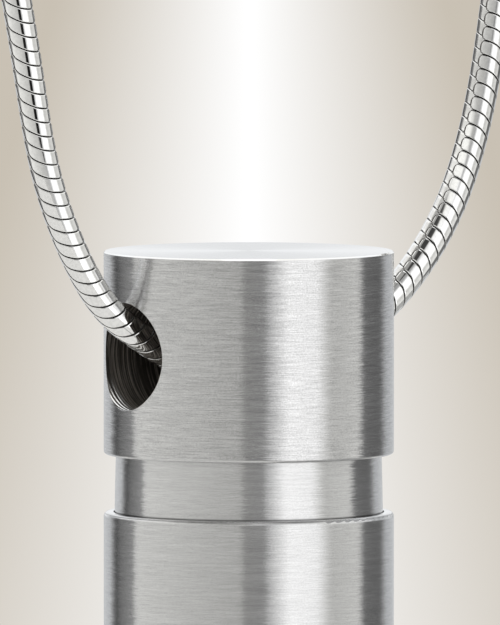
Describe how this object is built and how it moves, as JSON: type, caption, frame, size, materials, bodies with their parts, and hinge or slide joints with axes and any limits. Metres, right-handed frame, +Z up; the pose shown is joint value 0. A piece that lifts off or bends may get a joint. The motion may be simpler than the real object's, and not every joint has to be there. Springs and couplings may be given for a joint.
{
  "type": "cylinder cremation pendant on a snake chain",
  "caption": "Steel cylinder pendant with a screwed ash vessel under a grooved head, hung through its cross bore on a closed snake chain.",
  "frame": {"origin": "middle of the clasp, at the top of the chain's loop, where the necklace rests on the back of the neck", "axes": "+Z up along the hanging pendant's axis, +X to the right along the pendant's cross bore and across the loop, +Y away from the viewer of the loop's front"},
  "size_m": [0.081, 0.012, 0.2571],
  "materials": {
    "chain": "polished steel snake chain",
    "clasp": "polished steel",
    "cap": "fine turned brushing round the axis, dark drilled bore",
    "vessel": "fine turned brushing round the axis"
  },
  "bodies": {
    "necklace": {"chain": "chain", "clasp": "clasp"},
    "head": {"cap": "cap"},
    "vessel": {"vessel": "vessel"}
  },
  "joints": [
    {"name": "pendant_swing", "type": "hinge", "parent": "necklace", "child": "head", "pos_m": [0, 0, -0.22065], "axis": [1, 0, 0], "range_deg": [-35, 35]},
    {"name": "vessel_unscrew", "type": "slide", "parent": "head", "child": "vessel", "axis": [0, 0, -1], "range_m": [0, 0.015]}
  ]
}
